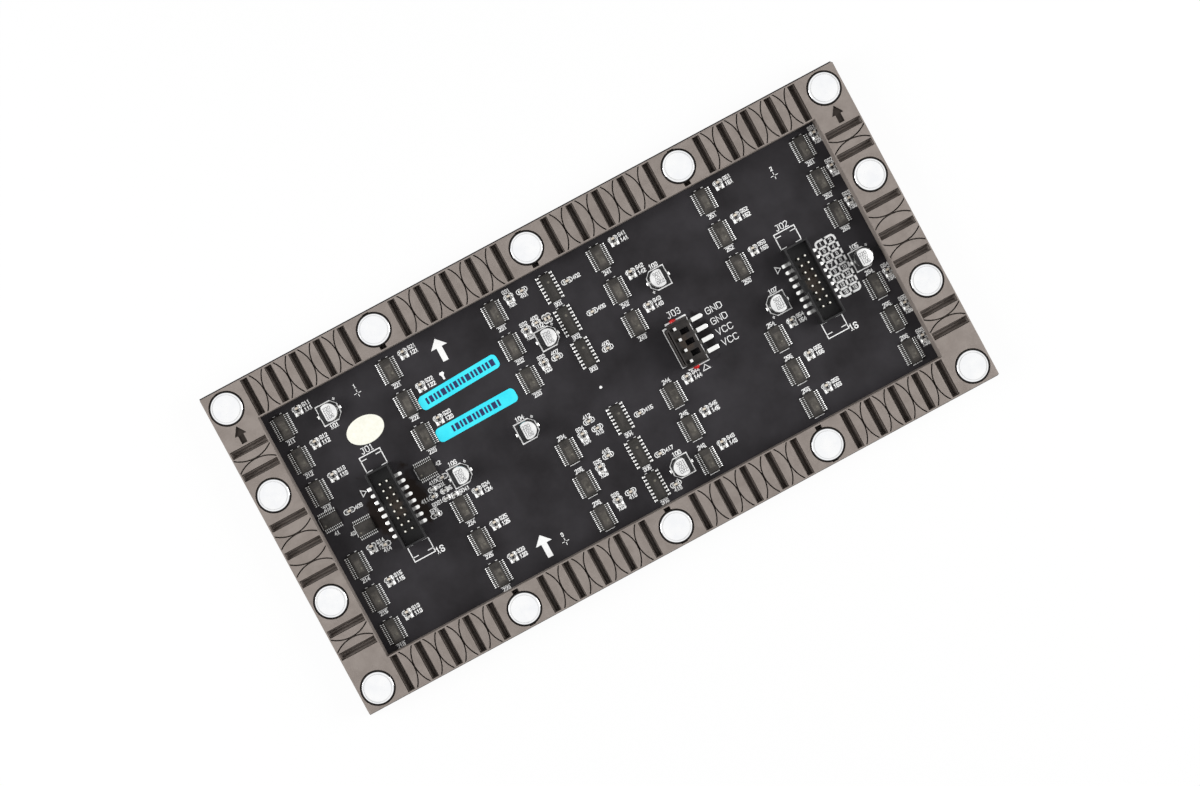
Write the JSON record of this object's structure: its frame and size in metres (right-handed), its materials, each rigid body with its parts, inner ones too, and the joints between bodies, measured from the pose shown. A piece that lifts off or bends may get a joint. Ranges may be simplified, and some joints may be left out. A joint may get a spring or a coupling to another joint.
{
  "type": "flexible led module",
  "caption": "Flexible LED display module: a thin circuit board with LEDs on its face, driver chips and headers on its back, and a grooved silicone frame with magnets.",
  "frame": {"origin": "centre of the LED face, where the module lies on a surface", "axes": "+X along the long side, +Y along the short side the arrows point, +Z out of the driver side"},
  "size_m": [0.24, 0.12, 0.0109],
  "materials": {
    "solder_mask": "black solder mask, satin",
    "led_package": "black LED packages, matt faces",
    "silicone": "moulded grey silicone, matt",
    "nickel": "bright nickel plating",
    "can_aluminium": "bright drawn aluminium, black print",
    "black_plastic": "black moulded plastic",
    "tin": "tin plating and solder",
    "gold": "gold flash",
    "chip_plastic": "moulded epoxy, matt",
    "capacitor_ceramic": "bare ceramic with tinned ends",
    "resistor_glaze": "black glaze with tinned ends",
    "cyan_label": "cyan adhesive label",
    "cream_label": "cream adhesive label"
  },
  "bodies": {
    "root": {"circuit_board": "solder_mask", "led_rows": "led_package", "silicone_frame": "silicone", "magnet_1": "nickel", "magnet_2": "nickel", "magnet_3": "nickel", "magnet_4": "nickel", "magnet_5": "nickel", "magnet_6": "nickel", "magnet_7": "nickel", "magnet_8": "nickel", "magnet_9": "nickel", "magnet_10": "nickel", "magnet_11": "nickel", "magnet_12": "nickel", "magnet_13": "nickel", "magnet_14": "nickel", "capacitor_can_1": "can_aluminium", "capacitor_can_2": "can_aluminium", "capacitor_can_3": "can_aluminium", "capacitor_can_4": "can_aluminium", "capacitor_can_5": "can_aluminium", "capacitor_can_6": "can_aluminium", "capacitor_can_7": "can_aluminium", "capacitor_can_8": "can_aluminium", "capacitor_bases": "black_plastic", "data_header_left": "black_plastic", "data_header_right": "black_plastic", "power_header": "black_plastic", "capacitor_tabs": "tin", "power_pins": "tin", "buffer_leads": "tin", "row_driver_leads": "tin", "led_driver_leads": "tin", "data_pins_left": "gold", "data_pins_right": "gold", "buffer_chip_1": "chip_plastic", "buffer_chip_2": "chip_plastic", "buffer_chip_3": "chip_plastic", "row_driver_1": "chip_plastic", "row_driver_2": "chip_plastic", "row_driver_3": "chip_plastic", "row_driver_4": "chip_plastic", "row_driver_5": "chip_plastic", "row_driver_6": "chip_plastic", "led_driver_column_1": "chip_plastic", "led_driver_column_2": "chip_plastic", "led_driver_column_3": "chip_plastic", "led_driver_column_4": "chip_plastic", "led_driver_column_5": "chip_plastic", "led_driver_column_6": "chip_plastic", "chip_capacitors": "capacitor_ceramic", "chip_resistors": "resistor_glaze", "upper_strip_sticker": "cyan_label", "lower_strip_sticker": "cyan_label", "oval_sticker": "cream_label"}
  },
  "joints": []
}
